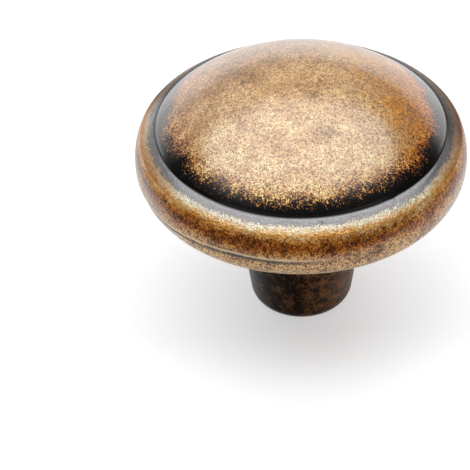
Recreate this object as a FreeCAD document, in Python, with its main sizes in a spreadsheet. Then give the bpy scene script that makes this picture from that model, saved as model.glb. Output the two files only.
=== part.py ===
import FreeCAD, Part

import math
import os
from enum import IntEnum

import Sketcher

# A cast cabinet knob: a raised dome inside a rounded rim, on a short tapered stem.
# It is one solid piece, with a blind tapped hole in its foot for the fixing screw.
# The origin is the centre of the foot face, and +Z runs up the stem to the dome.
# All lengths are millimetres and all angles are degrees.

SIZES = {
    # The rim, from its widest line
    "HeadDiameter": 40.0,
    "RimHeight": 22.0,
    "RimUnderRadius": 3.9,
    "RimSideRadius": 8.0,
    "RimSideSweep": 18.0,
    # The shoulder turns the side into the ledge, which ends in the crease
    "ShoulderRadius": 1.75,
    "ShoulderTop": 53.0,
    "LedgeRadius": 12.0,
    "RimWidth": 2.6,
    # The dome, from the crease up
    "DomeRise": 6.8,
    # The underside of the head, the stem and its foot
    "UnderSlope": 28.0,
    "NeckRadius": 5.5,
    "StemDraft": 7.4,
    "FootFaceDiameter": 9.2,
    "FootRound": 1.8,
    # The tapped hole
    "ScrewDiameter": 4.0,
    "ThreadPitch": 0.7,
    "HoleDepth": 16.0,
    "DrillPointAngle": 118.0,
    "MouthRelief": 0.3,
    "MouthAngle": 90.0,
}

# Sizes that follow from the others, written as formulas in the sheet
DERIVED = {
    "HeadRadius": "HeadDiameter / 2",
    "CreaseRadius": "HeadRadius - RimWidth",
    "SideRise": "RimSideRadius * sin(RimSideSweep * 1 deg)",
    "ShoulderRise": "ShoulderRadius * sin(ShoulderTop * 1 deg)",
    "FootFaceRadius": "FootFaceDiameter / 2",
    "TapDrillDiameter": "ScrewDiameter - ThreadPitch",
    "MouthDiameter": "ScrewDiameter + 2 * MouthRelief",
}

NODE_NAME = "knob"


class Place(IntEnum):
    """Which point of a sketch element a constraint takes."""

    START = 1
    END = 2
    CENTRE = 3


class Axis(IntEnum):
    """The fixed axes of every sketch."""

    LEVEL = -1
    UPRIGHT = -2


ORIGIN = (Axis.LEVEL, Place.START)


def make_sheet(doc):
    """Fill the spreadsheet with the driving sizes and the formulas beside them."""
    sheet = doc.addObject("Spreadsheet::Sheet", "Sizes")
    rows = list(SIZES.items()) + [(name, "=" + text) for name, text in DERIVED.items()]
    for row, (name, value) in enumerate(rows, start=1):
        sheet.set(f"A{row}", name)
        sheet.set(f"B{row}", str(value))
        sheet.setAlias(f"B{row}", name)
    doc.recompute()
    return sheet


def origin_plane(body, role):
    """Find one of the body's own origin planes."""
    return next(plane for plane in body.Origin.OriginFeatures if plane.Role == role)


def heading(degrees):
    """Give the unit vector at an angle in the section plane."""
    angle = math.radians(degrees)
    return FreeCAD.Vector(math.cos(angle), math.sin(angle), 0)


def rim_points(size):
    """Work out the ends and centres of the rim's arcs, from underside to crease."""
    head_radius = size("HeadRadius")
    rim_height = size("RimHeight")
    points = {"equator": FreeCAD.Vector(head_radius, rim_height, 0)}

    # Two arcs share the vertical tangent at the widest line
    under_radius = size("RimUnderRadius")
    points["under_centre"] = FreeCAD.Vector(head_radius - under_radius, rim_height, 0)
    points["under"] = points["under_centre"] + heading(size("UnderSlope") - 90) * under_radius
    side_radius = size("RimSideRadius")
    side_end = heading(size("RimSideSweep"))
    points["side_centre"] = FreeCAD.Vector(head_radius - side_radius, rim_height, 0)
    points["side"] = points["side_centre"] + side_end * side_radius

    # The shoulder and the ledge run on from it, and the ledge stops at the crease
    shoulder_radius = size("ShoulderRadius")
    shoulder_end = heading(size("ShoulderTop"))
    points["shoulder_centre"] = points["side"] - side_end * shoulder_radius
    points["shoulder"] = points["shoulder_centre"] + shoulder_end * shoulder_radius
    ledge_radius = size("LedgeRadius")
    ledge_centre = points["shoulder"] - shoulder_end * ledge_radius
    crease_radius = size("CreaseRadius")
    crease_lift = math.sqrt(ledge_radius**2 - (crease_radius - ledge_centre.x) ** 2)
    points["ledge_centre"] = ledge_centre
    points["crease"] = FreeCAD.Vector(crease_radius, ledge_centre.y + crease_lift, 0)
    return points


def dome_points(size, crease):
    """Work out the top and the centre of the dome, a cap that stands in the crease."""
    rise = size("DomeRise")
    dome_radius = (crease.x**2 + rise**2) / (2 * rise)
    apex = FreeCAD.Vector(0, crease.y + rise, 0)
    return {"apex": apex, "dome_centre": apex - FreeCAD.Vector(0, dome_radius, 0)}


def stem_points(size, under):
    """Work out the foot's round, the stem's side and the neck below the underside."""
    draft = size("StemDraft")
    foot_round = size("FootRound")
    foot = FreeCAD.Vector(size("FootFaceRadius"), 0, 0)
    foot_centre = foot + FreeCAD.Vector(0, foot_round, 0)
    stem = foot_centre + heading(-draft) * foot_round

    # The neck's arc rounds the corner where the stem's side would meet the underside
    up_stem = heading(90 - draft)
    up_head = heading(size("UnderSlope"))
    across = stem - under
    run = (across.x * up_head.y - across.y * up_head.x) / (up_stem.y * up_head.x - up_stem.x * up_head.y)
    corner = stem + up_stem * run
    half_turn = math.radians(90 - draft - size("UnderSlope")) / 2
    neck_radius = size("NeckRadius")
    tangent = neck_radius * math.tan(half_turn)
    points = {"foot": foot, "foot_centre": foot_centre, "stem": stem}
    points["neck_low"] = corner - up_stem * tangent
    points["neck_high"] = corner + up_head * tangent
    points["neck_centre"] = points["neck_low"] + heading(-draft) * neck_radius
    return points


def arc_between(centre, start, end):
    """Make an anticlockwise arc about a centre from start to end."""
    circle = Part.Circle(centre, FreeCAD.Vector(0, 0, 1), (start - centre).Length)
    first = math.atan2(start.y - centre.y, start.x - centre.x)
    last = math.atan2(end.y - centre.y, end.x - centre.x)
    return Part.ArcOfCircle(circle, first, last)


def draw_section(sketch, size):
    """Draw the half section and tie every size of it to the sheet."""
    p = rim_points(size)
    p.update(dome_points(size, p["crease"]))
    p.update(stem_points(size, p["under"]))
    start_point = FreeCAD.Vector(0, 0, 0)
    elements = {
        "foot_face": Part.LineSegment(start_point, p["foot"]),
        "foot_edge": arc_between(p["foot_centre"], p["foot"], p["stem"]),
        "stem_side": Part.LineSegment(p["stem"], p["neck_low"]),
        "neck": arc_between(p["neck_centre"], p["neck_high"], p["neck_low"]),
        "underside": Part.LineSegment(p["neck_high"], p["under"]),
        "rim_under": arc_between(p["under_centre"], p["under"], p["equator"]),
        "rim_side": arc_between(p["side_centre"], p["equator"], p["side"]),
        "shoulder": arc_between(p["shoulder_centre"], p["side"], p["shoulder"]),
        "ledge": arc_between(p["ledge_centre"], p["shoulder"], p["crease"]),
        "dome": arc_between(p["dome_centre"], p["crease"], p["apex"]),
        "centre_line": Part.LineSegment(p["apex"], start_point),
    }
    ids = dict(zip(elements, sketch.addGeometry(list(elements.values()), False)))
    start, end, centre = Place.START, Place.END, Place.CENTRE

    def rule(kind, *parts):
        named = [ids.get(part, part) for part in parts]
        return sketch.addConstraint(Sketcher.Constraint(kind, *named))

    def sized(kind, name, formula, *parts):
        sketch.renameConstraint(rule(kind, *parts), name)
        sketch.setExpression(f"Constraints.{name}", formula)

    # The outline is closed, starts at the origin and ends on the centre line
    rule("Coincident", "foot_face", start, *ORIGIN)
    rule("Tangent", "foot_face", end, "foot_edge", start)
    rule("Tangent", "foot_edge", end, "stem_side", start)
    rule("Tangent", "stem_side", end, "neck", end)
    rule("Tangent", "neck", start, "underside", start)
    rule("Tangent", "underside", end, "rim_under", start)
    rule("Tangent", "rim_under", end, "rim_side", start)
    rule("Tangent", "rim_side", end, "shoulder", start)
    rule("Tangent", "shoulder", end, "ledge", start)
    rule("Coincident", "ledge", end, "dome", start)
    rule("Coincident", "dome", end, "centre_line", start)
    rule("Coincident", "centre_line", end, "foot_face", start)
    rule("Horizontal", "foot_face")
    rule("Vertical", "centre_line")
    rule("PointOnObject", "dome", centre, Axis.UPRIGHT)

    # The rim
    rim_height = size("RimHeight")
    sized("DistanceX", "head_radius", "Sizes.HeadRadius", *ORIGIN, "rim_side", start, size("HeadRadius"))
    sized("DistanceY", "rim_height", "Sizes.RimHeight", *ORIGIN, "rim_side", start, rim_height)
    sized("DistanceY", "rim_centre", "Sizes.RimHeight", *ORIGIN, "rim_side", centre, rim_height)
    sized("Radius", "under_radius", "Sizes.RimUnderRadius", "rim_under", size("RimUnderRadius"))
    sized("Radius", "side_radius", "Sizes.RimSideRadius", "rim_side", size("RimSideRadius"))
    side_rise = size("SideRise")
    sized("DistanceY", "side_rise", "Sizes.SideRise", "rim_side", centre, "rim_side", end, side_rise)

    # The shoulder, the ledge and the dome
    sized("Radius", "shoulder_radius", "Sizes.ShoulderRadius", "shoulder", size("ShoulderRadius"))
    turn = ("shoulder", centre, "shoulder", end)
    sized("DistanceY", "shoulder_rise", "Sizes.ShoulderRise", *turn, size("ShoulderRise"))
    sized("Radius", "ledge_radius", "Sizes.LedgeRadius", "ledge", size("LedgeRadius"))
    crease = (*ORIGIN, "dome", start)
    sized("DistanceX", "crease_radius", "Sizes.CreaseRadius", *crease, size("CreaseRadius"))
    sized("DistanceY", "dome_rise", "Sizes.DomeRise", "dome", start, "dome", end, size("DomeRise"))

    # The underside, the stem and the foot
    under_slope = math.radians(size("UnderSlope"))
    sized("Angle", "under_slope", "Sizes.UnderSlope * 1 deg", "underside", under_slope)
    stem_angle = math.radians(90 - size("StemDraft"))
    sized("Angle", "stem_angle", "(90 - Sizes.StemDraft) * 1 deg", "stem_side", stem_angle)
    sized("Radius", "neck_radius", "Sizes.NeckRadius", "neck", size("NeckRadius"))
    sized("Radius", "foot_round", "Sizes.FootRound", "foot_edge", size("FootRound"))
    foot_face = (*ORIGIN, "foot_face", end)
    sized("DistanceX", "foot_radius", "Sizes.FootFaceRadius", *foot_face, size("FootFaceRadius"))


def add_screw_hole(doc, body, size):
    """Drill the blind tapped hole up into the foot, with its relieved mouth."""
    sketch = body.newObject("Sketcher::SketchObject", "ScrewHoleCentre")
    sketch.AttachmentSupport = [(origin_plane(body, "XY_Plane"), "")]
    sketch.MapMode = "FlatFace"
    drill = size("TapDrillDiameter")
    circle = Part.Circle(FreeCAD.Vector(0, 0, 0), FreeCAD.Vector(0, 0, 1), drill / 2)
    ring = sketch.addGeometry(circle, False)
    sketch.addConstraint(Sketcher.Constraint("Coincident", ring, Place.CENTRE, *ORIGIN))
    index = sketch.addConstraint(Sketcher.Constraint("Diameter", ring, drill))
    sketch.renameConstraint(index, "drill")
    sketch.setExpression("Constraints.drill", "Sizes.TapDrillDiameter")
    doc.recompute()

    hole = body.newObject("PartDesign::Hole", "ScrewHole")
    hole.Profile = sketch
    doc.recompute()
    hole.ThreadType = "None"
    hole.DepthType = "Dimension"
    hole.DrillPoint = "Angled"
    hole.DrillForDepth = False
    hole.HoleCutType = "Countersink"
    hole.HoleCutCustomValues = True
    hole.Reversed = True
    hole.setExpression("Diameter", "Sizes.TapDrillDiameter")
    hole.setExpression("Depth", "Sizes.HoleDepth")
    hole.setExpression("DrillPointAngle", "Sizes.DrillPointAngle * 1 deg")
    hole.setExpression("HoleCutDiameter", "Sizes.MouthDiameter")
    hole.setExpression("HoleCutCountersinkAngle", "Sizes.MouthAngle * 1 deg")
    doc.recompute()
    return hole


def make_knob(doc, sheet):
    """Build the knob: the revolved casting and its screw hole."""

    def size(name):
        return float(getattr(sheet, name))

    body = doc.addObject("PartDesign::Body", "Knob")
    body.Label = NODE_NAME
    section = body.newObject("Sketcher::SketchObject", "Section")
    section.AttachmentSupport = [(origin_plane(body, "XZ_Plane"), "")]
    section.MapMode = "FlatFace"
    draw_section(section, size)
    doc.recompute()

    casting = body.newObject("PartDesign::Revolution", "Casting")
    casting.Profile = section
    casting.ReferenceAxis = (section, ["V_Axis"])
    casting.Angle = 360
    doc.recompute()

    hole = add_screw_hole(doc, body, size)
    removed = casting.Shape.Volume - hole.Shape.Volume
    drilled = math.pi / 4 * size("TapDrillDiameter") ** 2 * size("HoleDepth")
    if removed < drilled:
        raise RuntimeError(f"the screw hole took away {removed:.1f} of {drilled:.1f} cubic mm")
    return body, section


def check(doc, body, section):
    """Stop if any feature failed, the sketch is loose or the solid is unsound."""
    for item in doc.Objects:
        if "Invalid" in item.State or "Error" in item.State:
            raise RuntimeError(f"{item.Name} failed: {item.State}")
    if section.solve() != 0 or not section.FullyConstrained:
        raise RuntimeError("the section isn't fully constrained")
    shape = body.Shape
    if shape.isNull() or not shape.isValid() or len(shape.Solids) != 1:
        raise RuntimeError("the knob isn't one sound solid")


def main():
    """Build the knob, check it and write its STEP file."""
    doc = FreeCAD.newDocument("CabinetKnob")
    sheet = make_sheet(doc)
    body, section = make_knob(doc, sheet)
    check(doc, body, section)
    os.makedirs("parts", exist_ok=True)
    body.Shape.exportStep(f"parts/{body.Label}.step")
    shape = body.Shape
    print(f"{body.Label}: {shape.Volume / 1000:.3f} cubic cm, {len(shape.Faces)} faces")


main()
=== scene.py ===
import logging
import math
import operator
from dataclasses import dataclass
from enum import Enum, IntEnum
from functools import reduce

import bmesh
import bpy
from mathutils import Matrix, Vector, noise


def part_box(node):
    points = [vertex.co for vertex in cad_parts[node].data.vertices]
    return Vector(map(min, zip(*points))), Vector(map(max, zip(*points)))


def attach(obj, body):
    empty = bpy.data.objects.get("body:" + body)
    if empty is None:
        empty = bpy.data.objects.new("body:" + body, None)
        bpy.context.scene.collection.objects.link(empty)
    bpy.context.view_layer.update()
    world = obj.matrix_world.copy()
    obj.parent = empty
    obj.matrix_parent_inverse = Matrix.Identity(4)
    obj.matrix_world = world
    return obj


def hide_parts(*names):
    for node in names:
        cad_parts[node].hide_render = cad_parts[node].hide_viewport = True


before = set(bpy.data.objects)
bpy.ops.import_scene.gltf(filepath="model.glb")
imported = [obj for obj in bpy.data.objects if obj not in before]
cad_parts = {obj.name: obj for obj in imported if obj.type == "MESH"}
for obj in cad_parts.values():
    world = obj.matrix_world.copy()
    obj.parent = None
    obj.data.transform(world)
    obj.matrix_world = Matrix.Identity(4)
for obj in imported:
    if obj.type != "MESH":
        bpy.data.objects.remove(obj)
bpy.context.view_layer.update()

# The antique brass look of a cast cabinet knob: a domed centre in a rounded rim, on a tapered stem.
# The knob is one casting, so it is one piece here, with the screw's thread cut in its foot.
# Sizes are millimetres and angles degrees, until a mesh or the camera is made in metres.

LOG = logging.getLogger("knob_scene")
MILLIMETRE = 0.001
NODE_NAME = "knob"
BODY_NAME = "root"
SLOT_NAME = "antique_brass"

Colour = tuple[float, float, float]
Point = tuple[float, float]
Entries = dict[int | str, object]
Material = bpy.types.Material
Mesh = bmesh.types.BMesh
Ring = list[bmesh.types.BMVert]
Socket = bpy.types.NodeSocket
Tree = bpy.types.NodeTree


class Finish(IntEnum):
    """The material slots of the knob."""

    BRASS = 0
    CUT_METAL = 1


class Edge(Enum):
    """How a ramp runs from its first value to its last."""

    STRAIGHT = "LINEAR"
    SOFT = "SMOOTHSTEP"


@dataclass(frozen=True)
class Ramp:
    """A rise or a fall between two levels of what is read."""

    low: float
    high: float
    first: float = 0.0
    last: float = 1.0
    edge: Edge = Edge.SOFT

    def at(self, level: float) -> float:
        """Give the value at a level, as if the edge were straight."""
        share = min(1.0, max(0.0, (level - self.low) / (self.high - self.low)))
        return self.first + (self.last - self.first) * share


Ramps = tuple[Ramp, ...]


def fall(low: float, high: float) -> Ramp:
    """Give a ramp that falls from one to nought."""
    return Ramp(low, high, 1.0, 0.0)


def band(rise_start: float, rise_end: float, fall_start: float, fall_end: float) -> Ramps:
    """Give the two ramps of a mask that is one between its edges."""
    return Ramp(rise_start, rise_end), fall(fall_start, fall_end)


@dataclass(frozen=True)
class Wear:
    """One stop in a row of colours from the patina to the bare brass."""

    level: float
    colour: Colour
    cover: float = 1.0


# Shader wiring


class Value:
    """A number, mask, vector or colour in a node tree. Arithmetic on it adds Math nodes."""

    def __init__(self, wiring: "Wiring", socket: Socket) -> None:
        """Take the output that holds it."""
        self.wiring = wiring
        self.socket = socket

    def maths(self, operation: str, other: object) -> "Value":
        """Join this and another value in a Math node."""
        return self.wiring.maths(operation, self, other)

    def __add__(self, other: object) -> "Value":
        """Add another value."""
        return self.maths("ADD", other)

    def __sub__(self, other: object) -> "Value":
        """Take another value away."""
        return self.maths("SUBTRACT", other)

    def __mul__(self, other: object) -> "Value":
        """Multiply by another value."""
        return self.maths("MULTIPLY", other)

    def __truediv__(self, other: object) -> "Value":
        """Divide by another value."""
        return self.maths("DIVIDE", other)

    def inverse(self) -> "Value":
        """Turn a mask round."""
        return self.wiring.maths("SUBTRACT", 1.0, self)

    def axes(self) -> "list[Value]":
        """Take a vector apart into X, Y and Z."""
        made = self.wiring.node("ShaderNodeSeparateXYZ", {0: self})
        return [Value(self.wiring, part) for part in made.outputs]

    def step(self, low: float, high: float, to: tuple, edge: Edge = Edge.SOFT) -> "Value":
        """Run from the first to the last of two values between two levels."""
        entries = dict(enumerate((self, low, high, *to)))
        return self.wiring.value("ShaderNodeMapRange", entries, interpolation_type=edge.value)

    def ramp(self, *ramps: Ramp) -> "Value":
        """Run through each ramp and multiply what they give."""
        runs = [self.step(each.low, each.high, (each.first, each.last), each.edge) for each in ramps]
        return reduce(operator.mul, runs)

    def mix(self, first: object, second: object) -> "Value":
        """Blend two colours, with this as the amount of the second."""
        return self.wiring.blend(self, first, second, "MIX")

    def tint(self, first: object, second: object) -> "Value":
        """Multiply one colour by another, with this as the amount."""
        return self.wiring.blend(self, first, second, "MULTIPLY")

    def between(self, first: object, second: object) -> "Value":
        """Blend two numbers, with this as the amount of the second."""
        return self.wiring.value("ShaderNodeMix", {0: self, 2: first, 3: second}, data_type="FLOAT")

    def noise(self, scale: object, detail: float, roughness: float) -> "Value":
        """Read cloudy noise at a place. Its features are one over the scale wide."""
        entries = {"Vector": self, "Scale": scale, "Detail": detail, "Roughness": roughness}
        return self.wiring.value("ShaderNodeTexNoise", entries, "Fac", noise_dimensions="3D")

    def bump(self, depth: float, strength: float) -> "Value":
        """Turn a height into a bumped normal. Its depth is in millimetres."""
        entries = {"Strength": strength, "Distance": depth * MILLIMETRE, "Height": self}
        return self.wiring.value("ShaderNodeBump", entries)

    def wear(self, stops: tuple[Wear, ...]) -> "tuple[Value, Value]":
        """Run through the colours of a row of wear stops.

        Args:
            stops: The stops, with rising levels.

        Returns:
            The colour, and how much of it is bare brass.
        """
        low, high = stops[0].level, stops[-1].level
        made = self.wiring.node("ShaderNodeValToRGB", {"Fac": self.ramp(Ramp(low, high, edge=Edge.STRAIGHT))})
        elements = made.color_ramp.elements
        for stop in stops[1:-1]:
            elements.new((stop.level - low) / (high - low))
        for element, stop in zip(elements, stops):
            element.color = (*stop.colour, stop.cover)
        return Value(self.wiring, made.outputs["Color"]), Value(self.wiring, made.outputs["Alpha"])


class Wiring:
    """Adds nodes to one node tree and joins them."""

    def __init__(self, tree: Tree) -> None:
        """Take the tree that the nodes go into."""
        self.tree = tree

    def feed(self, socket: Socket, value: object) -> None:
        """Join a value to an input, or set the input's own value.

        Args:
            socket: The input to fill.
            value: A value of this tree, a number or a colour.
        """
        if isinstance(value, Value):
            self.tree.links.new(value.socket, socket)
        elif isinstance(value, tuple) and len(socket.default_value) == len(value) + 1:
            socket.default_value = (*value, 1.0)
        else:
            socket.default_value = value

    def node(self, kind: str, entries: Entries | None = None, **settings: object) -> bpy.types.Node:
        """Add a node.

        Args:
            kind: The node's type name.
            entries: What goes into its inputs, by their names or numbers.
            **settings: Properties to set on it.

        Returns:
            The new node.
        """
        made = self.tree.nodes.new(kind)
        for name, value in settings.items():
            setattr(made, name, value)
        for key, value in (entries or {}).items():
            self.feed(made.inputs[key], value)
        return made

    def value(
        self, kind: str, entries: Entries | None = None, output: int | str = 0, **settings: object
    ) -> Value:
        """Add a node and take one of its outputs, by its name or number."""
        return Value(self, self.node(kind, entries, **settings).outputs[output])

    def maths(self, operation: str, *values: object) -> Value:
        """Put values through a Math node."""
        return self.value("ShaderNodeMath", dict(enumerate(values)), operation=operation)

    def length(self, *legs: Value) -> Value:
        """Give the length of a vector from its legs."""
        return self.maths("SQRT", reduce(operator.add, [leg * leg for leg in legs]))

    def blend(self, amount: object, first: object, second: object, way: str) -> Value:
        """Blend two colours in one of the Mix node's ways."""
        entries = {0: amount, 6: first, 7: second}
        return self.value("ShaderNodeMix", entries, 2, data_type="RGBA", blend_type=way)

    def use(self, group: Tree, entries: Entries | None = None) -> dict[str, Value]:
        """Place a node group and give its outputs by name."""
        made = self.node("ShaderNodeGroup", entries, node_tree=group)
        return {output.name: Value(self, output) for output in made.outputs}

    def surface(self, entries: Entries) -> None:
        """Show a Principled shader with these inputs."""
        self.node("ShaderNodeOutputMaterial", {"Surface": self.value("ShaderNodeBsdfPrincipled", entries)})


def new_material(name: str) -> tuple[Material, Wiring]:
    """Start an empty material.

    Args:
        name: The material's name.

    Returns:
        The material, and the wiring of its tree.
    """
    material = bpy.data.materials.new(name)
    material.use_nodes = True
    material.node_tree.nodes.clear()
    return material, Wiring(material.node_tree)


def new_group(name: str, inputs: dict[str, str], outputs: dict[str, str]) -> Wiring:
    """Start a shader node group.

    Args:
        name: The group's name.
        inputs: Socket names and their kinds, such as Float.
        outputs: The same for what it puts out.

    Returns:
        The wiring of the group.
    """
    tree = bpy.data.node_groups.new(name, "ShaderNodeTree")
    for direction, sockets in (("INPUT", inputs), ("OUTPUT", outputs)):
        for title, kind in sockets.items():
            tree.interface.new_socket(name=title, in_out=direction, socket_type=f"NodeSocket{kind}")
    return Wiring(tree)


def casting_place(rim_height: float) -> Tree:
    """Build the group that says where on the casting a point is.

    Args:
        rim_height: The height of the rim's widest line.

    Returns:
        A group that puts out the position in millimetres, the distance from the axis, and the lift, which
        is the height above the rim's widest line.
    """
    wiring = new_group("casting_place", {}, {"Place": "Vector", "Radius": "Float", "Lift": "Float"})
    entries = {0: wiring.value("ShaderNodeTexCoord", output="Object"), "Scale": 1.0 / MILLIMETRE}
    place = wiring.value("ShaderNodeVectorMath", entries, operation="SCALE")
    across, along, height = place.axes()
    lift = height - rim_height
    wiring.node("NodeGroupOutput", {"Place": place, "Radius": wiring.length(across, along), "Lift": lift})
    return wiring.tree


@dataclass(frozen=True)
class GrainLayer:
    """One layer of noise in the cast grain."""

    width: float
    detail: float
    roughness: float
    swing: float
    relief: float


FINE_GRAIN = GrainLayer(width=1.0, detail=1.0, roughness=0.8, swing=11.0, relief=0.8)
MIDDLE_GRAIN = GrainLayer(width=2.6, detail=1.0, roughness=0.6, swing=5.0, relief=0.9)
COARSE_GRAIN = GrainLayer(width=19.0, detail=4.0, roughness=0.62, swing=9.0, relief=1.2)
NOISE_AVERAGE = 0.5


def cast_grain() -> Tree:
    """Build the group for the fine tooth of a cast surface that was rubbed by hand.

    Returns:
        A group that puts out a tooth for bumps, and fine specks and wide clouds that swing about nought.
    """
    outputs = {"Tooth": "Float", "Specks": "Float", "Clouds": "Float"}
    wiring = new_group("cast_grain", {"Place": "Vector", "Size": "Float", "Stretch": "Float"}, outputs)
    place, size, stretch = (Value(wiring, given) for given in wiring.node("NodeGroupInput").outputs[:3])
    along = wiring.value("ShaderNodeCombineXYZ", {"X": 1.0, "Y": 1.0, "Z": stretch})
    drawn = wiring.value("ShaderNodeVectorMath", {0: place, 1: along}, operation="MULTIPLY")
    swings = []
    reliefs = []
    for layer, where in ((FINE_GRAIN, drawn), (MIDDLE_GRAIN, drawn), (COARSE_GRAIN, place)):
        scale = wiring.maths("DIVIDE", 1.0, size * layer.width)
        value = where.noise(scale, layer.detail, layer.roughness)
        swings.append((value - NOISE_AVERAGE) * layer.swing)
        reliefs.append(value * layer.relief)
    fine, middle, coarse = swings
    entries = {"Tooth": reduce(operator.add, reliefs), "Specks": fine + middle, "Clouds": coarse}
    wiring.node("NodeGroupOutput", entries)
    return wiring.tree


@dataclass(frozen=True)
class Spot:
    """What a material knows about the point that it colours."""

    place: Value
    across: Value
    along: Value
    radius: Value
    lift: Value
    specks: Value
    clouds: Value
    tooth: Value


@dataclass(frozen=True)
class Effects:
    """The node groups that the materials share."""

    place: Tree
    grain: Tree

    @classmethod
    def build(cls, rim_height: float) -> "Effects":
        """Build each group once."""
        return cls(casting_place(rim_height), cast_grain())

    def spot(self, wiring: Wiring, grain_size: float, stretch: float) -> Spot:
        """Place the groups in a material.

        Args:
            wiring: The material's wiring.
            grain_size: The width of the finest grain, in millimetres.
            stretch: How much closer the grain lies along the height than across.

        Returns:
            What they say about the point.
        """
        where = wiring.use(self.place)
        place = where["Place"]
        grain = wiring.use(self.grain, {"Place": place, "Size": grain_size, "Stretch": stretch})
        across, along, _ = place.axes()
        swings = (grain["Specks"], grain["Clouds"], grain["Tooth"])
        return Spot(place, across, along, where["Radius"], where["Lift"], *swings)


# Finishes


@dataclass(frozen=True)
class RubbedHead:
    """The head by how far it was rubbed back, with edges that break up into specks. The crest's cream band is
    polished brass with a painted highlight, and the grey ledge is patina with a painted reflection.
    """

    dome: tuple[Wear, ...] = (
        Wear(0.0, (0.80, 0.48, 0.21)),
        Wear(9.0, (0.84, 0.55, 0.28)),
        Wear(12.5, (0.92, 0.60, 0.30)),
        Wear(14.4, (0.96, 0.58, 0.26)),
        Wear(15.1, (0.84, 0.40, 0.10)),
        Wear(15.55, (0.44, 0.14, 0.03)),
        Wear(15.75, (0.05, 0.018, 0.006), 0.3),
        Wear(15.95, (0.006, 0.003, 0.002), 0.0),
        Wear(18.0, (0.003, 0.002, 0.0015), 0.0),
    )
    rim: tuple[Wear, ...] = (
        Wear(-8.0, (0.10, 0.05, 0.02)),
        Wear(-4.0, (0.55, 0.29, 0.10)),
        Wear(-2.0, (0.84, 0.50, 0.19)),
        Wear(-0.5, (0.84, 0.47, 0.18)),
        Wear(0.1, (0.90, 0.47, 0.18)),
        Wear(0.7, (0.90, 0.40, 0.11)),
        Wear(1.2, (0.76, 0.27, 0.05)),
        Wear(1.8, (0.56, 0.13, 0.012)),
        Wear(2.3, (0.76, 0.19, 0.012)),
        Wear(2.7, (1.0, 0.37, 0.045)),
        Wear(3.05, (1.0, 0.48, 0.11)),
        Wear(3.28, (1.0, 0.58, 0.21)),
        # The crest's cream band: polished brass, brightened into a painted highlight.
        Wear(3.46, (1.0, 0.70, 0.38)),
        Wear(3.64, (1.0, 0.85, 0.60)),
        Wear(3.82, (1.0, 0.88, 0.68)),
        # The ledge's grey: dark patina, with a painted reflection of the overhead light.
        Wear(3.88, (0.20, 0.197, 0.212), 0.35),
        Wear(4.3, (0.20, 0.197, 0.212), 0.35),
    )
    dome_specks: float = -0.42
    dome_clouds: float = -0.3
    rim_swing: Ramps = (Ramp(1.3, 2.2, -0.24, 0.24), Ramp(2.6, 3.5, 1.0, 0.35))
    rim_clouds: float = 0.8
    extra_rub: float = 0.42
    extra_across: Ramps = band(-1.0, 6.0, 12.0, 19.0)
    extra_along: Ramp = fall(-6.0, 0.0)
    extra_lift: Ramps = band(0.2, 1.2, 2.7, 3.2)
    below_ledge: Ramp = fall(3.0, 3.1)

    def paint(self, spot: Spot, outside: Value) -> tuple[Value, Value]:
        """Colour the dome and the rim.

        Args:
            spot: What is known about the point.
            outside: A mask of what lies outside the crease.

        Returns:
            The colour, and how much of it is bare brass.
        """
        lift = spot.lift
        outward = spot.radius + spot.specks * self.dome_specks + spot.clouds * self.dome_clouds
        dome, dome_cover = outward.wear(self.dome)
        swing = lift.ramp(*self.rim_swing)
        held = spot.across.ramp(*self.extra_across) * spot.along.ramp(self.extra_along)
        extra = held * lift.ramp(*self.extra_lift) * self.extra_rub
        upward = lift + spot.specks * swing + spot.clouds * swing * self.rim_clouds + extra
        rim, rim_cover = upward.wear(self.rim)
        share = outside.maths("MAXIMUM", lift.ramp(self.below_ledge))
        return share.mix(dome, rim), share.between(dome_cover, rim_cover)


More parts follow.
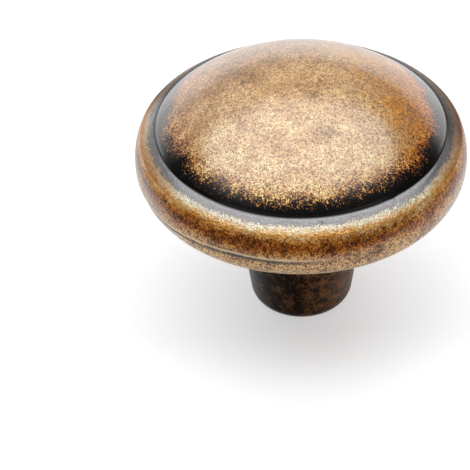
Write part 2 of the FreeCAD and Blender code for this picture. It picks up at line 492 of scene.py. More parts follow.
@dataclass(frozen=True)
class Specks:
    """Darker and lighter specks in the brass, the parts of the head that were rubbed less or dulled, the
    dome's back darkened with painted shade, and the rim's far ends paled with a painted sheen.
    """

    dark_tint: Colour = (0.43, 0.33, 0.25)
    light_tint: Colour = (1.58, 1.61, 1.64)
    dark_cloud: Colour = (0.70, 0.63, 0.55)
    light_cloud: Colour = (1.24, 1.26, 1.30)
    warm_side: Colour = (0.74, 0.47, 0.10)
    # Painted shade that darkens the back of the dome.
    painted_shade_back: Colour = (0.65, 0.57, 0.53)
    blotch_brown: Colour = (0.40, 0.27, 0.18)
    fleck_cream: Colour = (1.0, 0.66, 0.36)
    fleck_gold: Colour = (1.0, 0.43, 0.08)
    side_brown: Colour = (0.060, 0.024, 0.009)
    # Painted sheen on the rim's far left and right ends.
    painted_sheen_side: Colour = (0.78, 0.74, 0.69)
    dull_lip: Colour = (0.60, 0.46, 0.34)
    speck_range: Ramp = Ramp(-1.5, 1.5, edge=Edge.STRAIGHT)
    cloud_range: Ramp = Ramp(-1.4, 1.4, edge=Edge.STRAIGHT)
    side_band: Ramps = band(-3.3, -2.7, 2.4, 3.0)
    cream_band: Ramps = band(2.75, 3.05, 3.8, 4.1)
    lip_band: Ramps = band(3.0, 3.2, 3.8, 4.0)
    dome_band: Ramp = Ramp(4.1, 4.3)
    cream_calm: float = 0.75
    side_calm: float = 0.45
    warm_turn: float = 0.35
    warm_wander: float = 1.8
    warm_reach: Ramp = Ramp(4.6, 13.0)
    warm_spared: Ramp = Ramp(4.0, 12.0, 1.0, 0.45)
    back_turn: float = 0.7
    back_reach: Ramp = Ramp(0.0, 11.0)
    blotches: Ramp = Ramp(-1.4, 0.2, 0.85, 0.0)
    flecks: Ramp = Ramp(0.6, 1.4, 0.0, 0.7)
    fleck_change: Ramp = Ramp(0.2, 1.4)
    pits: Ramp = Ramp(-1.0, -0.1, 0.92, 0.0)
    sheen_slope: float = 1.1
    sheen_reach: Ramp = Ramp(13.2, 18.6, 0.0, 0.52)
    sheen_lift: Ramp = fall(3.0, 3.5)
    lip_reach: Ramp = Ramp(14.0, 17.5)

    def paint(self, spot: Spot, colour: Value, cover: Value) -> Value:
        """Break up the brass all over, then change the dome, the rim's side, its ends, which get a painted
        sheen, and its lip.

        Args:
            spot: What is known about the point.
            colour: The colour so far.
            cover: How much of it is bare brass.

        Returns:
            The colour.
        """
        lift = spot.lift
        fine = spot.specks.ramp(self.speck_range).mix(self.dark_tint, self.light_tint)
        wide = spot.clouds.ramp(self.cloud_range).mix(self.dark_cloud, self.light_cloud)
        side = lift.ramp(*self.side_band)
        calm = lift.ramp(*self.cream_band) * self.cream_calm + side * self.side_calm
        shown = cover * calm.maths("MINIMUM", self.cream_calm).inverse()
        broken = shown.tint(colour, lift.wiring.blend(1.0, fine, wide, "MULTIPLY"))
        domed = self.paint_dome(spot, cover * lift.ramp(self.dome_band), broken)
        sided = self.paint_side(spot, side, domed)
        aside = lift.wiring.maths("ABSOLUTE", spot.across)
        # Painted sheen: the rim's ends grow paler towards the far left and right.
        pale = (aside - lift * self.sheen_slope).ramp(self.sheen_reach) * lift.ramp(self.sheen_lift)
        lip = aside.ramp(self.lip_reach) * lift.ramp(*self.lip_band)
        return lip.tint(pale.mix(sided, self.painted_sheen_side), self.dull_lip)

    def paint_dome(self, spot: Spot, shown: Value, colour: Value) -> Value:
        """Warm the dome's right side and darken its back with painted shade.

        Args:
            spot: What is known about the point.
            shown: How much bare brass of the dome there is.
            colour: The colour so far.

        Returns:
            The colour.
        """
        rightward = spot.across + spot.along * self.warm_turn + spot.clouds * self.warm_wander
        warm = rightward.ramp(self.warm_reach) * spot.along.ramp(self.warm_spared)
        # Painted shade: the dome grows darker towards its back.
        backward = spot.along - spot.across * self.back_turn
        dull = backward.ramp(self.back_reach)
        return (dull * shown).tint((warm * shown).tint(colour, self.warm_side), self.painted_shade_back)

    def paint_side(self, spot: Spot, side: Value, colour: Value) -> Value:
        """Put blotches, flecks and pits on the rim's side.

        Args:
            spot: What is known about the point.
            side: A mask of the rim's side.
            colour: The colour so far.

        Returns:
            The colour.
        """
        blotched = (spot.clouds.ramp(self.blotches) * side).tint(colour, self.blotch_brown)
        bright = spot.lift.ramp(self.fleck_change).mix(self.fleck_cream, self.fleck_gold)
        flecked = (spot.specks.ramp(self.flecks) * side).mix(blotched, bright)
        return (spot.specks.ramp(self.pits) * side).mix(flecked, self.side_brown)


@dataclass(frozen=True)
class ShadedLedge:
    """The ledge behind the dome, darkened with painted shade and left dull."""

    # Painted shade: the brown that darkens the ledge behind the dome.
    brown: Colour = (0.34, 0.27, 0.25)
    roughness: float = 0.25
    lacquer_loss: float = 0.75
    turn: float = 0.25
    behind: Ramp = Ramp(-3.0, 5.0)
    above: Ramp = Ramp(2.6, 3.2)

    def mask(self, spot: Spot, outside: Value) -> Value:
        """Say where it is, from a mask of what lies outside the crease."""
        backward = spot.along + spot.across * self.turn
        return backward.ramp(self.behind) * outside * spot.lift.ramp(self.above)


@dataclass(frozen=True)
class Stain:
    """A small mark on the top of the head."""

    angle: float
    radius: float
    size: float
    strength: float


@dataclass(frozen=True)
class Stains:
    """The stains on the head."""

    marks: tuple[Stain, ...] = (
        Stain(-69.5, 8.9, 1.1, 0.55),
        Stain(-85.5, 6.5, 0.5, 0.5),
        Stain(-62.6, 3.9, 0.9, 0.5),
        Stain(-186.0, 6.9, 0.6, 0.7),
        Stain(-149.0, 7.5, 0.8, 0.4),
        Stain(-84.8, 17.9, 0.22, 1.0),
        Stain(-55.5, 17.5, 0.25, 1.0),
    )
    brown: Colour = (0.30, 0.24, 0.22)
    core: float = 0.3
    ragged: float = 0.18
    above: Ramp = Ramp(3.0, 3.1)

    def paint(self, spot: Spot, colour: Value) -> Value:
        """Darken the colour at each mark.

        Args:
            spot: What is known about the point.
            colour: The colour so far.

        Returns:
            The colour.
        """
        above = spot.lift.ramp(self.above)
        for mark in self.marks:
            middle = heading(mark.angle) * mark.radius
            away = spot.lift.wiring.length(spot.across - middle.x, spot.along - middle.y)
            fade = Ramp(self.core * mark.size, mark.size, mark.strength, 0.0)
            shown = (away + spot.specks * (self.ragged * mark.size)).ramp(fade) * above
            colour = shown.tint(colour, self.brown)
        return colour


@dataclass(frozen=True)
class Seam:
    """The die's parting line round the rim: its course from left to right, its lip, worn and painted pale as
    a highlight, and a dark band below it, painted shadow under the step.
    """

    lift: Ramp = Ramp(-17.8, -9.0, -0.69, 0.06, Edge.STRAIGHT)
    strength: Ramp = Ramp(-5.0, 5.0, 1.0, 0.15)
    wander: float = 0.04
    lip: Ramps = band(0.02, 0.14, 0.16, 0.46)
    # Painted highlight on the worn lip of the seam.
    lip_highlight_tan: Colour = (1.0, 0.78, 0.46)
    lip_share: float = 0.9
    # Painted shadow: a dark band just below the seam's step.
    step_shadow: Ramps = band(-0.62, -0.30, -0.04, 0.08)
    step_shadow_brown: Colour = (0.026, 0.024, 0.021)
    step_shadow_broken: Ramp = Ramp(-1.5, 2.2, 1.0, 0.7)

    def paint(self, spot: Spot, colour: Value) -> Value:
        """Draw the lip, worn and with a painted highlight, and the painted shadow below it.

        Args:
            spot: What is known about the point.
            colour: The colour so far.

        Returns:
            The colour.
        """
        over = spot.lift - spot.across.ramp(self.lift) + spot.clouds * self.wander
        strength = spot.across.ramp(self.strength)
        lip = over.ramp(*self.lip) * strength * self.lip_share
        # Painted shadow below the lip, and a painted highlight on the lip.
        step_shadow = over.ramp(*self.step_shadow) * strength * spot.specks.ramp(self.step_shadow_broken)
        return step_shadow.mix(lip.mix(colour, self.lip_highlight_tan), self.step_shadow_brown)


@dataclass(frozen=True)
class StemPatina:
    """Dark patina on the stem, rubbed through in patches; the patches grow towards the +X side, which is
    painted light.
    """

    brown: Colour = (0.007, 0.0022, 0.001)
    tan: Colour = (0.23, 0.080, 0.014)
    patch_size: float = 1.3
    patch_detail: float = 3.0
    patch_roughness: float = 0.62
    # Painted light: more tan patches towards the +X side of the stem.
    lit_side_bias: Ramp = Ramp(-3.5, 4.0, -0.14, 0.08)
    ragged: float = 0.06
    rubbed: Ramp = Ramp(0.34, 0.82)
    bare: float = 0.3
    shank: Ramp = fall(-9.0, -5.5)

    def paint(self, spot: Spot, colour: Value, cover: Value) -> tuple[Value, Value]:
        """Cover the stem.

        Args:
            spot: What is known about the point.
            colour: The colour so far.
            cover: How much of it is bare brass.

        Returns:
            The colour, and how much of it is bare brass.
        """
        patches = spot.place.noise(1.0 / self.patch_size, self.patch_detail, self.patch_roughness)
        # Real rubbed patches, with painted light adding more of them towards +X.
        patch = (patches + spot.across.ramp(self.lit_side_bias) + spot.specks * self.ragged).ramp(self.rubbed)
        shank = spot.lift.ramp(self.shank)
        kept = shank.step(0.0, 1.0, (cover, patch * self.bare))
        return shank.mix(colour, patch.mix(self.brown, self.tan)), kept


@dataclass(frozen=True)
class AntiqueBrass:
    """Brass speckled over dark patina, all of it under clear lacquer."""

    effects: Effects
    seam: Seam
    crease_radius: float
    head: RubbedHead = RubbedHead()
    specks: Specks = Specks()
    ledge: ShadedLedge = ShadedLedge()
    stains: Stains = Stains()
    stem: StemPatina = StemPatina()
    crease_edge: float = 0.03
    grain_size: float = 0.155
    stretch: float = 0.8
    tooth: float = 0.13
    tooth_shown: Ramp = Ramp(0.0, 0.6, 0.12, 1.0)
    dark_metal: float = 1.0
    side_metal: Ramp = Ramp(0.9, 2.1, 0.65, 0.08)
    more_metal: Ramps = (Ramp(2.5, 3.3, 0.0, 0.77), Ramp(4.1, 4.3, 0.0, -0.23))
    dark_roughness: float = 0.30
    brass_roughness: float = 0.38
    specular: float = 0.1
    lacquer: Ramps = (Ramp(3.3, 3.8, 0.35, 1.0), Ramp(-8.0, -3.0))
    lacquer_roughness: float = 0.15
    lacquer_ior: float = 1.95

    def build(self) -> Material:
        """Wire up the finish.

        Returns:
            The material.
        """
        material, wiring = new_material(SLOT_NAME)
        spot = self.effects.spot(wiring, self.grain_size, self.stretch)
        lift = spot.lift
        edge = Ramp(self.crease_radius - self.crease_edge, self.crease_radius + self.crease_edge)
        outside = spot.radius.ramp(edge)
        ledge = self.ledge.mask(spot, outside)
        colour, cover = self.head.paint(spot, outside)
        colour = self.specks.paint(spot, colour, cover)
        # Painted shade on the ledge behind the dome.
        colour = ledge.tint(colour, self.ledge.brown)
        colour = self.stains.paint(spot, colour)
        colour = self.seam.paint(spot, colour)
        colour, cover = self.stem.paint(spot, colour, cover)
        bare_metal = reduce(operator.add, [lift.ramp(each) for each in (self.side_metal, *self.more_metal)])
        roughness = cover.step(0.0, 1.0, (self.dark_roughness, self.brass_roughness))
        kept = (ledge * self.ledge.lacquer_loss).inverse()
        wiring.surface(
            {
                "Base Color": colour,
                "Metallic": cover.step(0.0, 1.0, (self.dark_metal, bare_metal)),
                "Roughness": roughness + ledge * self.ledge.roughness,
                "Normal": (spot.tooth * cover.ramp(self.tooth_shown)).bump(self.tooth, 1.0),
                "Specular IOR Level": self.specular,
                "Coat Weight": lift.ramp(*self.lacquer) * kept,
                "Coat Roughness": self.lacquer_roughness,
                "Coat IOR": self.lacquer_ior,
            }
        )
        return material


@dataclass(frozen=True)
class CutMetal:
    """Freshly cut casting alloy in the tapped hole."""

    effects: Effects
    bright: Colour = (0.50, 0.47, 0.41)
    dull: Colour = (0.20, 0.17, 0.13)
    tone: Ramp = Ramp(-1.5, 1.2)
    roughness: float = 0.32
    grain_size: float = 0.22
    tooth: float = 0.02
    tooth_strength: float = 0.6

    def build(self) -> Material:
        """Wire up the finish.

        Returns:
            The material.
        """
        material, wiring = new_material("cut_metal")
        spot = self.effects.spot(wiring, self.grain_size, 1.0)
        wiring.surface(
            {
                "Base Color": spot.specks.ramp(self.tone).mix(self.dull, self.bright),
                "Metallic": 1.0,
                "Roughness": self.roughness,
                "Normal": spot.tooth.bump(self.tooth, self.tooth_strength),
            }
        )
        return material


# The casting


def heading(degrees: float) -> Vector:
    """Give the unit vector at an angle in the section plane."""
    angle = math.radians(degrees)
    return Vector((math.cos(angle), math.sin(angle)))


def arc(centre: Vector, radius: float, first: float, last: float, spacing: float) -> list[Vector]:
    """Put points along an arc, both ends included.

    Args:
        centre: The arc's centre.
        radius: Its radius.
        first: The angle at which it starts, in degrees.
        last: The angle at which it ends.
        spacing: About how far apart the points are.

    Returns:
        The points.
    """
    count = max(2, round(abs(math.radians(last - first)) * radius / spacing))
    return [centre + heading(first + (last - first) * step / count) * radius for step in range(count + 1)]


def run(start: Vector, end: Vector, spacing: float) -> list[Vector]:
    """Put points along a straight line, both ends included."""
    count = max(1, round((end - start).length / spacing))
    return [start.lerp(end, step / count) for step in range(count + 1)]


def turned(mesh: Mesh, radius: float, height: float, angle: float) -> bmesh.types.BMVert:
    """Make the vertex at a radius, a height and an angle round the axis."""
    corner = Vector((radius * math.cos(angle), radius * math.sin(angle), height))
    return mesh.verts.new(corner * MILLIMETRE)


@dataclass(frozen=True)
class Spacing:
    """About how far apart the section's points are on each stretch."""

    foot_face: float = 0.4
    foot_round: float = 0.2
    straight: float = 0.5
    neck: float = 0.4
    under: float = 0.2
    seam: float = 0.06
    side: float = 0.11
    shoulder: float = 0.07
    ledge: float = 0.13
    dome: float = 0.3


@dataclass
class KnobSection:
    """The half section of the casting, from the foot face to the top of the dome."""

    head_radius: float
    overall_height: float
    under_radius: float = 3.9
    side_radius: float = 8.0
    side_sweep: float = 18.0
    shoulder_radius: float = 1.75
    shoulder_top: float = 53.0
    ledge_radius: float = 12.0
    rim_width: float = 2.6
    dome_rise: float = 6.8
    under_slope: float = 28.0
    neck_radius: float = 5.5
    stem_draft: float = 7.4
    foot_face_radius: float = 4.6
    foot_round: float = 1.8
    mouth_radius: float = 2.3
    crease_depth: float = 0.07
    crease_width: float = 0.16
    seam_reach: float = -20.0
    spacing: Spacing = Spacing()

    def __post_init__(self) -> None:
        """Work out the rim's arcs, and the height that puts the dome's top where it is."""
        side_end = heading(self.side_sweep)
        shoulder_end = heading(self.shoulder_top)
        self.side_centre = Vector((self.head_radius - self.side_radius, 0.0))
        self.shoulder_centre = self.side_centre + side_end * (self.side_radius - self.shoulder_radius)
        self.ledge_centre = self.shoulder_centre - shoulder_end * (self.ledge_radius - self.shoulder_radius)
        self.crease_radius = self.head_radius - self.rim_width
        inward = self.crease_radius - self.ledge_centre.x
        self.crease_lift = self.ledge_centre.y + math.sqrt(self.ledge_radius**2 - inward**2)
        self.rim_height = self.overall_height - self.crease_lift - self.dome_rise
        self.dome_radius = (self.crease_radius**2 + self.dome_rise**2) / (2 * self.dome_rise)

    def head(self) -> list[Vector]:
        """Give the head's points, measured from the rim's widest line.

        Returns:
            The points from just past the underside's end to the dome's top.
        """
        gap = self.spacing
        under_centre = Vector((self.head_radius - self.under_radius, 0.0))
        crease = Vector((self.crease_radius, self.crease_lift))
        ledge_end = math.degrees(math.atan2(*(crease - self.ledge_centre).yx))
        dome_centre = Vector((0.0, self.crease_lift + self.dome_rise - self.dome_radius))
        dome_start = math.degrees(math.atan2(*(crease - dome_centre).yx))
        arcs = (
            (under_centre, self.under_radius, self.under_slope - 90, self.seam_reach, gap.under),
            (under_centre, self.under_radius, self.seam_reach, 0, gap.seam),
            (self.side_centre, self.side_radius, 0, self.side_sweep, gap.side),
            (self.shoulder_centre, self.shoulder_radius, self.side_sweep, self.shoulder_top, gap.shoulder),
            (self.ledge_centre, self.ledge_radius, self.shoulder_top, ledge_end, gap.ledge),
            (dome_centre, self.dome_radius, dome_start, 90, gap.dome),
        )
        return [point for each in arcs for point in arc(*each)[1:]]

    def shank(self) -> list[Vector]:
        """Give the points of the foot's round, the stem, the neck and the underside.

        Returns:
            The points from the foot face to the underside's end.
        """
        gap = self.spacing
        foot_centre = Vector((self.foot_face_radius, self.foot_round))
        stem = foot_centre + heading(-self.stem_draft) * self.foot_round
        up_stem = heading(90 - self.stem_draft)
        up_head = heading(self.under_slope)
        under = Vector((self.head_radius - self.under_radius, self.rim_height))
        under += heading(self.under_slope - 90) * self.under_radius
        across = stem - under
        turn = up_stem.y * up_head.x - up_stem.x * up_head.y
        corner = stem + up_stem * ((across.x * up_head.y - across.y * up_head.x) / turn)
        half_turn = math.radians(90 - self.stem_draft - self.under_slope) / 2
        reach = self.neck_radius * math.tan(half_turn)
        neck_low = corner - up_stem * reach
        neck_centre = neck_low + heading(-self.stem_draft) * self.neck_radius
        points = arc(foot_centre, self.foot_round, -90, -self.stem_draft, gap.foot_round)
        points += run(stem, neck_low, gap.straight)[1:]
        start, end = 180 - self.stem_draft, 90 + self.under_slope
        points += arc(neck_centre, self.neck_radius, start, end, gap.neck)[1:]
        points += run(corner + up_head * reach, under, gap.straight)[1:]
        return points

    def outline(self) -> list[Vector]:
        """Give every point from the hole's mouth, over the foot and the head, to just below the dome's top.

        Returns:
            The points, from the axis outwards and up, in millimetres.
        """
        mouth = Vector((self.mouth_radius, 0.0))
        foot = Vector((self.foot_face_radius, 0.0))
        raised = [point + Vector((0.0, self.rim_height)) for point in self.head()]
        return run(mouth, foot, self.spacing.foot_face) + self.shank()[1:] + raised[:-1]


@dataclass(frozen=True)
class TappedHole:
    """The blind hole with its M4 thread, from its mouth to the drill's point."""

    screw_radius: float = 2.0
    pitch: float = 0.7
    depth: float = 16.0
    mouth_relief: float = 0.3
    thread_length: float = 12.0
    point_angle: float = 118.0
    groove_slope: float = 1.35
    crest_flat: float = 0.1
    columns: int = 72
    rows_per_turn: int = 8

    @property
    def drill_radius(self) -> float:
        """The radius of the thread's crests, which the tapping drill leaves."""
        return self.screw_radius - self.pitch / 2

    def wall_radius(self, height: float, angle: float) -> float:
        """Give the wall's distance from the axis.

        Args:
            height: The height above the foot face.
            angle: The angle round the axis, in radians.

        Returns:
            The radius, in millimetres.
        """
        mouth = self.screw_radius + self.mouth_relief - height
        start, end = self.mouth_relief, self.thread_length
        fade = min(1.0, max(0.0, (height - start) / self.pitch), max(0.0, (end - height) / self.pitch))
        turn = (height / self.pitch - angle / math.tau) % 1.0
        groove = min(1.0, max(0.0, self.groove_slope * (1 - abs(2 * turn - 1)) - self.crest_flat))
        wall = self.drill_radius + max(0.0, fade) * groove * (self.screw_radius - self.drill_radius)
        return max(wall, mouth)

    def rows(self) -> list[float]:
        """Give the heights of the wall's rings, from the mouth up."""
        step = self.pitch / self.rows_per_turn
        count = int(self.thread_length / step) + 2
        return [step * row for row in range(1, count)] + [self.depth]


@dataclass(frozen=True)
class Nick:
    """A small dent left in the casting."""

    angle: float
    lift: float
    width: float
    depth: float


@dataclass
class CastKnob:
    """The whole casting as one closed mesh."""

    section: KnobSection
    hole: TappedHole
    seam: Seam
    columns: int = 360
    seam_depth: float = 0.09
    seam_width: float = 0.16
    seam_run_out: float = 1.3
    waviness: float = 0.02
    waves_per_mm: float = 0.4
    smooth_below: float = -6.0
    top_above: float = 3.0
    nicks: tuple[Nick, ...] = (
        Nick(-84.8, 3.9, 0.40, 0.05),
        Nick(-55.5, 4.2, 0.40, 0.05),
        Nick(-20.0, 1.6, 0.6, 0.07),
        Nick(-131.0, -0.2, 0.5, 0.07),
        Nick(152.0, 2.2, 0.6, 0.07),
    )

    def flaw(self, radius: float, lift: float, angle: float) -> float:
        """Say how far the skin is pushed in at a point.

        Args:
            radius: The distance from the axis.
            lift: The height above the rim's widest line.
            angle: The angle round the axis, in radians.

        Returns:
            The distance inwards, in millimetres.
        """
        if lift < self.smooth_below:
            return 0.0
        place = Vector((radius * math.cos(angle), radius * math.sin(angle), lift))
        depth = self.waviness * (1.0 + noise.noise(place * self.waves_per_mm)) / 2
        below = self.seam.lift.at(place.x) - lift
        if 0.0 < below < self.seam_run_out:
            rise = min(1.0, below / self.seam_width)
            run_out = 1.0 - (below / self.seam_run_out) ** 2
            depth += self.seam_depth * self.seam.strength.at(place.x) * rise * run_out
        crease = abs(radius - self.section.crease_radius) / self.section.crease_width
        if crease < 1.0 and lift > self.top_above:
            depth += self.section.crease_depth * (1.0 - crease)
        for nick in self.nicks:
            along = radius * (angle - math.radians(nick.angle))
            along = (along + math.pi * radius) % (math.tau * radius) - math.pi * radius
            apart = math.hypot(along, lift - nick.lift) / nick.width
            if apart < 1.0 and radius > self.section.crease_radius:
                depth += nick.depth * (1.0 - apart**2) ** 2
        return depth

    def ring(self, mesh: Mesh, point: Vector, inward: Vector) -> Ring:
        """Make one ring of the skin.

        Args:
            mesh: The mesh to add to.
            point: The section's point.
            inward: The direction in the section that points into the metal.

        Returns:
            The ring's vertices.
        """
        made = []
        for column in range(self.columns):
            angle = math.tau * column / self.columns
            radius, height = point + inward * self.flaw(point.x, point.y - self.section.rim_height, angle)
            made.append(turned(mesh, radius, height, angle))
        return made

    def skin(self, mesh: Mesh) -> Ring:
        """Make the outside of the casting.

        Args:
            mesh: The mesh to add to.

        Returns:
            The ring at the mouth of the hole.
        """
        points = self.section.outline()
        top = Vector((0.0, self.section.overall_height))
        rings = []
        for index, point in enumerate(points):
            before = points[max(0, index - 1)]
            after = points[index + 1] if index + 1 < len(points) else top
            along = (after - before).normalized()
            rings.append(self.ring(mesh, point, Vector((-along.y, along.x))))
        for low, high in zip(rings, rings[1:]):
            join(mesh, low, high, Finish.BRASS)
        cap(mesh, rings[-1], turned(mesh, 0.0, top.y, 0.0), Finish.BRASS)
        return rings[0]

    def bore(self, mesh: Mesh, mouth: Ring) -> None:
        """Make the threaded wall and the drill's point, and join them to the foot.

        Args:
            mesh: The mesh to add to.
            mouth: The skin's ring at the mouth of the hole.
        """
        hole = self.hole
        rings = []
        for height in [0.0] + hole.rows():
            made = []
            for column in range(hole.columns):
                angle = math.tau * column / hole.columns
                made.append(turned(mesh, hole.wall_radius(height, angle), height, angle))
            rings.append(made)
        for low, high in zip(rings, rings[1:]):
            join(mesh, high, low, Finish.CUT_METAL)
        rise = hole.drill_radius / math.tan(math.radians(hole.point_angle / 2))
        cap(mesh, rings[-1][::-1], turned(mesh, 0.0, hole.depth + rise, 0.0), Finish.CUT_METAL)
        self.rim_of_mouth(mesh, rings[0], mouth)

    def rim_of_mouth(self, mesh: Mesh, inner: Ring, outer: Ring) -> None:
        """Weld the bore's first ring into the finer ring of the skin.

        Args:
            mesh: The mesh to add to.
            inner: The bore's ring.
            outer: The skin's ring, which has several corners to each of the bore's.
        """
        share = len(outer) // len(inner)
        for index, corner in enumerate(inner):
            following = inner[(index + 1) % len(inner)]
            span = [outer[(index * share + step) % len(outer)] for step in range(share + 1)]
            face = mesh.faces.new([following, corner, *span])
            face.material_index = Finish.BRASS
            face.smooth = True

    def build(self, finishes: list[Material]) -> bpy.types.Object:
        """Build the piece and put it in the knob's place.

        Args:
            finishes: The materials, in the order of Finish.

        Returns:
            The piece.
        """
        mesh = bmesh.new()
        self.bore(mesh, self.skin(mesh))
        piece = new_object("cast_knob", mesh, finishes)
        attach(piece, BODY_NAME)
        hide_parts(NODE_NAME)
        return piece


def join(mesh: Mesh, low: Ring, high: Ring, finish: Finish) -> None:
    """Fill the band between two rings with smooth faces, which look outwards if the first is the lower.

    Args:
        mesh: The mesh to add to.
        low: The first ring.
        high: The second ring, with as many vertices.
        finish: The material slot of the faces.
    """
    for index, corner in enumerate(low):
        following = (index + 1) % len(low)
        face = mesh.faces.new((corner, low[following], high[following], high[index]))
        face.smooth = True
        face.material_index = finish


def cap(mesh: Mesh, ring: Ring, tip: bmesh.types.BMVert, finish: Finish) -> None:
    """Close a ring with triangles that meet at one vertex.

    Args:
        mesh: The mesh to add to.
        ring: The ring.
        tip: The vertex.
        finish: The material slot of the triangles.
    """
    for index, corner in enumerate(ring):
        face = mesh.faces.new((corner, ring[(index + 1) % len(ring)], tip))
        face.smooth = True
        face.material_index = finish


def new_object(name: str, mesh: Mesh, materials: list[Material]) -> bpy.types.Object:
    """Make an object of a finished mesh.

    Args:
        name: The object's name.
        mesh: Its mesh, which this frees.
        materials: Its materials, in the order of their slots.

    Returns:
        The object.
    """
    data = bpy.data.meshes.new(name)
    mesh.to_mesh(data)
    mesh.free()
    for material in materials:
        data.materials.append(material)
    made = bpy.data.objects.new(name, data)
    bpy.context.scene.collection.objects.link(made)
    return made


# The studio


@dataclass(frozen=True)
class Studio:
    """A pale floor under a large overhead light, in a room that is white behind and dim in front.

    The light's place and reach are shares of its height above the object. The ramps named after the front,
    the rear and the horizon read the parts of a ray's direction, whose length is one.
    """

    floor_radius: float = 100.0
    floor_centre: Point = (15.0, 40.0)
    floor_sides: int = 96
    floor_colour: Colour = (0.79, 0.80, 0.815)
    floor_glow: float = 0.52
    floor_glow_reflected: float = 0.34
    # Painted light: the floor glows more towards the front, fading the object's shadow there.
    floor_painted_light_front: Ramp = Ramp(6.0, 18.0, 0.0, 0.10)
    backdrop: Colour = (1.0, 1.0, 1.0)
    light_level: float = 2.0
    light_centre: Point = (-0.02, 0.38)
    light_reach: Point = (1.35, 1.0)
    light_edge: Ramp = fall(0.60, 0.93)
    light_back: Ramp = fall(0.50, 1.05)
    light_low: Ramp = Ramp(0.1, 0.2)
    least_up: float = 0.05
    least_level: float = 0.001
    sky_across: Ramp = Ramp(0.0, 0.6, 0.32, 0.09)
    horizon: Point = (0.12, 0.32)
    horizon_level: float = 1.12
    rear_facing: Ramp = Ramp(0.42, 0.62)
    front_up: Ramps = band(0.12, 0.30, 0.56, 0.72)
    front_facing: Ramp = Ramp(-0.85, -0.2, 0.42, 0.0)
    dark_level: float = 0.03

    def world(self) -> None:
        """Light the object from all round by the direction a ray takes."""
        world = bpy.data.worlds.new("studio")
        bpy.context.scene.world = world
        world.use_nodes = True
        world.node_tree.nodes.clear()
        wiring = Wiring(world.node_tree)
        across, along, up = wiring.value("ShaderNodeTexCoord", output="Generated").axes()
        raised = up.maths("MAXIMUM", self.least_up)
        overhead = (across / raised, along / raised)
        sides = zip(overhead, self.light_centre, self.light_reach)
        away = wiring.length(*[(value - middle) / reach for value, middle, reach in sides])
        light = away.ramp(self.light_edge) * overhead[1].ramp(self.light_back) * up.ramp(self.light_low)
        facing = along / wiring.length(across, along).maths("MAXIMUM", self.least_level)
        pale = up.step(*self.horizon, (self.horizon_level, across.ramp(self.sky_across)))
        front = up.ramp(*self.front_up) * facing.ramp(self.front_facing)
        sky = facing.ramp(self.rear_facing) * pale + front + self.dark_level
        lit = light.between(sky, self.light_level)
        seen = wiring.value("ShaderNodeLightPath", output="Is Camera Ray").between(lit, 1.0)
        background = wiring.value("ShaderNodeBackground", {"Color": self.backdrop, "Strength": seen})
        wiring.node("ShaderNodeOutputWorld", {"Surface": background})

    def floor_material(self) -> Material:
        """Make the floor's material, which shows white to the eye and in reflections but keeps the shadow,
        and glows more towards the front, painted light that fades the shadow there.

        It is clear from below, so that the foot can be seen.

        Returns:
            The material.
        """
        material, wiring = new_material("pale_floor")
        rays = wiring.node("ShaderNodeLightPath").outputs
        names = ("Is Camera Ray", "Is Glossy Ray", "Is Transmission Ray")
        camera, glossy, through = (Value(wiring, rays[name]) for name in names)
        forward = wiring.value("ShaderNodeTexCoord", output="Object").axes()[1] * (-1.0 / MILLIMETRE)
        # Painted light on the floor, growing towards the front.
        shown = camera * (forward.ramp(self.floor_painted_light_front) + self.floor_glow)
        reflected = (glossy + through).maths("MINIMUM", 1.0) * self.floor_glow_reflected
        entries = {
            "Base Color": self.floor_colour,
            "Roughness": 1.0,
            "Specular IOR Level": 0.0,
            "Emission Color": self.backdrop,
            "Emission Strength": reflected + shown,
        }
        solid = wiring.value("ShaderNodeBsdfPrincipled", entries)
        below = wiring.value("ShaderNodeNewGeometry", output="Backfacing")
        clear = wiring.value("ShaderNodeBsdfTransparent")
        shader = wiring.value("ShaderNodeMixShader", {0: below, 1: solid, 2: clear})
        wiring.node("ShaderNodeOutputMaterial", {"Surface": shader})
        return material

    def floor(self) -> bpy.types.Object:
        """Lay the floor.

        Returns:
            The floor.
        """
        mesh = bmesh.new()
        shift = Matrix.Translation(Vector((*self.floor_centre, 0.0)) * MILLIMETRE)
        radius = self.floor_radius * MILLIMETRE
        bmesh.ops.create_circle(mesh, cap_ends=True, segments=self.floor_sides, radius=radius, matrix=shift)
        piece = new_object("floor", mesh, [self.floor_material()])
        return piece


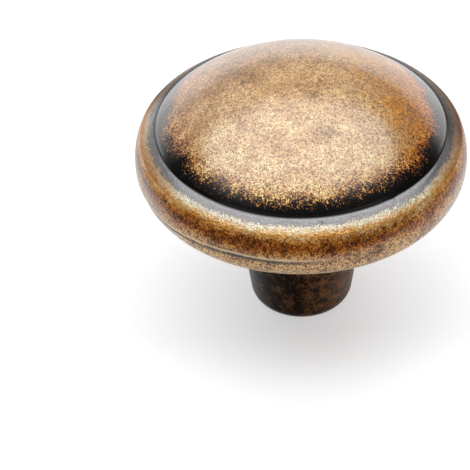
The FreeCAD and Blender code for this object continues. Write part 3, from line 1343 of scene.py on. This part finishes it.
@dataclass(frozen=True)
class PhotoCamera:
    """The camera that took the photograph, from where the rim and the crease fall in it."""

    picture: int = 470
    sensor: float = 36.0
    elevation: float = 40.60
    roll: float = -2.04
    distance_in_radii: float = 12.0
    pixels_per_radius: float = 165.8
    head_centre_px: Point = (300.6, 153.2)
    near_metres: float = 0.01

    def build(self, head_radius: float, rim_height: float) -> bpy.types.Object:
        """Set up the camera.

        Args:
            head_radius: The radius of the head, in millimetres.
            rim_height: The height of its widest line.

        Returns:
            The camera.
        """
        sine, cosine = math.sin(math.radians(self.elevation)), math.cos(math.radians(self.elevation))
        upright = Matrix(((1.0, 0.0, 0.0), (0.0, sine, cosine), (0.0, -cosine, sine)))
        turned = Matrix.Rotation(-math.radians(self.roll), 3, "Z") @ upright
        right, down = ((at - self.picture / 2) / self.pixels_per_radius for at in self.head_centre_px)
        shift = Vector((right, -down, -self.distance_in_radii))
        place = -(turned.transposed() @ shift) * head_radius + Vector((0.0, 0.0, rim_height))
        data = bpy.data.cameras.new("photo_camera")
        data.sensor_width = self.sensor
        data.lens = self.pixels_per_radius * self.distance_in_radii / self.picture * self.sensor
        data.clip_start = self.near_metres
        camera = bpy.data.objects.new("photo_camera", data)
        camera.matrix_world = Matrix.Translation(place * MILLIMETRE) @ turned.transposed().to_4x4()
        bpy.context.scene.collection.objects.link(camera)
        bpy.context.scene.camera = camera
        return camera


def main() -> None:
    """Build the knob, the studio and the camera."""
    logging.basicConfig(level=logging.INFO, format="%(message)s")
    bpy.context.scene.view_settings.view_transform = "Standard"
    _, high = (Vector(corner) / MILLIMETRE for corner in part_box(NODE_NAME))
    section = KnobSection(head_radius=high.x, overall_height=high.z)
    effects = Effects.build(section.rim_height)
    seam = Seam()
    finishes = [AntiqueBrass(effects, seam, section.crease_radius).build(), CutMetal(effects).build()]
    knob = CastKnob(section, TappedHole(), seam).build(finishes)
    LOG.info("%s: %d faces, rim line at %.2f mm", knob.name, len(knob.data.polygons), section.rim_height)
    studio = Studio()
    studio.world()
    LOG.info("%s laid", studio.floor().name)
    camera = PhotoCamera().build(section.head_radius, section.rim_height)
    LOG.info("%s: lens %.1f mm", camera.name, camera.data.lens)


if __name__ == "__main__":
    main()
